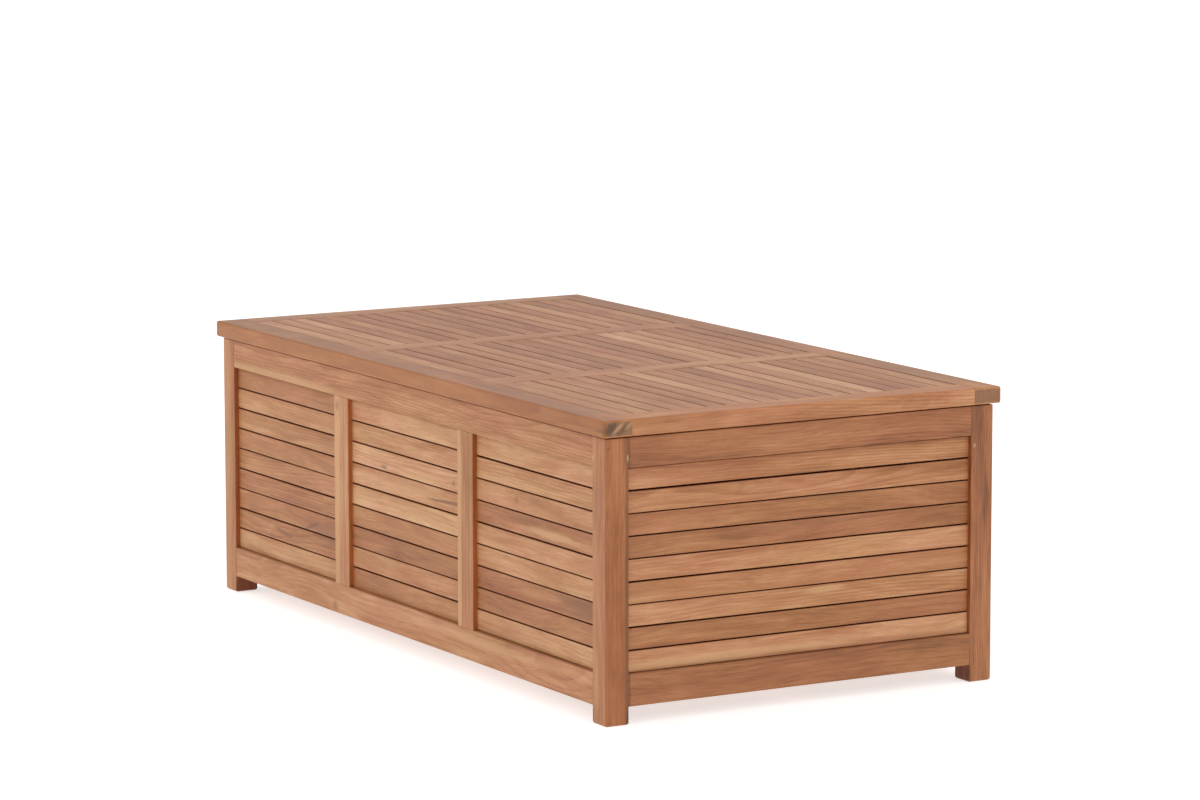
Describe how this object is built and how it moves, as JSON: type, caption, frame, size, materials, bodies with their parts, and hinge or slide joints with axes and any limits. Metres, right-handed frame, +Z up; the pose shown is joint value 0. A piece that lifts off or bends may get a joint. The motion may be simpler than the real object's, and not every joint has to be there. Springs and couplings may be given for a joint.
{
  "type": "deck storage box",
  "caption": "low slatted teak cushion box for a deck or patio, with a framed slatted lid on back hinges, slotted lid stays and a slatted floor",
  "frame": {"origin": "on the ground under the middle of the box", "axes": "+X along the long side to the right, +Y from the front to the hinge side at the back, +Z up"},
  "size_m": [1.5, 0.81, 0.528],
  "materials": {
    "wall_frame_teak": "planed teak, lightly oiled, warm golden brown",
    "wall_slat_teak": "planed teak slats, tone differs from slat to slat",
    "lid_frame_teak": "planed teak with eased edges",
    "lid_slat_teak": "planed teak slats, satin sheen",
    "floor_teak": "sawn and sanded teak",
    "peg_teak": "end grain teak",
    "stainless_steel": "brushed stainless steel",
    "black_rubber": "matte moulded rubber"
  },
  "bodies": {
    "box": {"bottom_rail_back": "wall_frame_teak", "bottom_rail_front": "wall_frame_teak", "bottom_rail_left": "wall_frame_teak", "bottom_rail_right": "wall_frame_teak", "floor_bearer": "floor_teak", "floor_cleat_back": "floor_teak", "floor_cleat_front": "floor_teak", "floor_screws": "stainless_steel", "floor_slats": "floor_teak", "frame_pegs": "peg_teak", "hardware_screws_body": "stainless_steel", "hinge_leaf_body_left": "stainless_steel", "hinge_leaf_body_middle": "stainless_steel", "hinge_leaf_body_right": "stainless_steel", "hinge_pins": "stainless_steel", "lid_bumpers": "black_rubber", "mullion_back_left": "wall_frame_teak", "mullion_back_right": "wall_frame_teak", "mullion_front_left": "wall_frame_teak", "mullion_front_right": "wall_frame_teak", "post_back_left": "wall_frame_teak", "post_back_right": "wall_frame_teak", "post_front_left": "wall_frame_teak", "post_front_right": "wall_frame_teak", "slats_back_left": "wall_slat_teak", "slats_back_middle": "wall_slat_teak", "slats_back_right": "wall_slat_teak", "slats_front_left": "wall_slat_teak", "slats_front_middle": "wall_slat_teak", "slats_front_right": "wall_slat_teak", "slats_left_end": "wall_slat_teak", "slats_right_end": "wall_slat_teak", "stay_pins": "stainless_steel", "stay_plate_left": "stainless_steel", "stay_plate_right": "stainless_steel", "top_rail_back": "wall_frame_teak", "top_rail_front": "wall_frame_teak", "top_rail_left": "wall_frame_teak", "top_rail_right": "wall_frame_teak"},
    "lid": {"hardware_screws_lid": "stainless_steel", "hinge_leaf_lid_left": "stainless_steel", "hinge_leaf_lid_middle": "stainless_steel", "hinge_leaf_lid_right": "stainless_steel", "lid_cross_rail_left": "lid_frame_teak", "lid_cross_rail_right": "lid_frame_teak", "lid_end_rail_left": "lid_frame_teak", "lid_end_rail_right": "lid_frame_teak", "lid_pegs": "peg_teak", "lid_rail_back": "lid_frame_teak", "lid_rail_front": "lid_frame_teak", "lid_slats_left": "lid_slat_teak", "lid_slats_middle": "lid_slat_teak", "lid_slats_right": "lid_slat_teak", "stay_bracket_left": "stainless_steel", "stay_bracket_right": "stainless_steel", "stay_rivets": "stainless_steel"},
    "left_stay_arm": {"stay_arm_left": "stainless_steel"},
    "right_stay_arm": {"stay_arm_right": "stainless_steel"}
  },
  "joints": [
    {"name": "lid_hinge", "type": "hinge", "parent": "box", "child": "lid", "pos_m": [0, 0.3985, 0.4965], "axis": [-1, 0, 0], "range_deg": [0, 95]},
    {"name": "left_stay_pivot", "type": "hinge", "parent": "lid", "child": "left_stay_arm", "pos_m": [-0.70675, 0.22883, 0.486], "axis": [-1, 0, 0], "range_deg": [-47.5, 0]},
    {"name": "right_stay_pivot", "type": "hinge", "parent": "lid", "child": "right_stay_arm", "pos_m": [0.70675, 0.22883, 0.486], "axis": [-1, 0, 0], "range_deg": [-47.5, 0]}
  ],
  "couplings": [
    {"joint": "left_stay_pivot", "follows": "lid_hinge", "ratio": -0.5},
    {"joint": "right_stay_pivot", "follows": "lid_hinge", "ratio": -0.5}
  ]
}
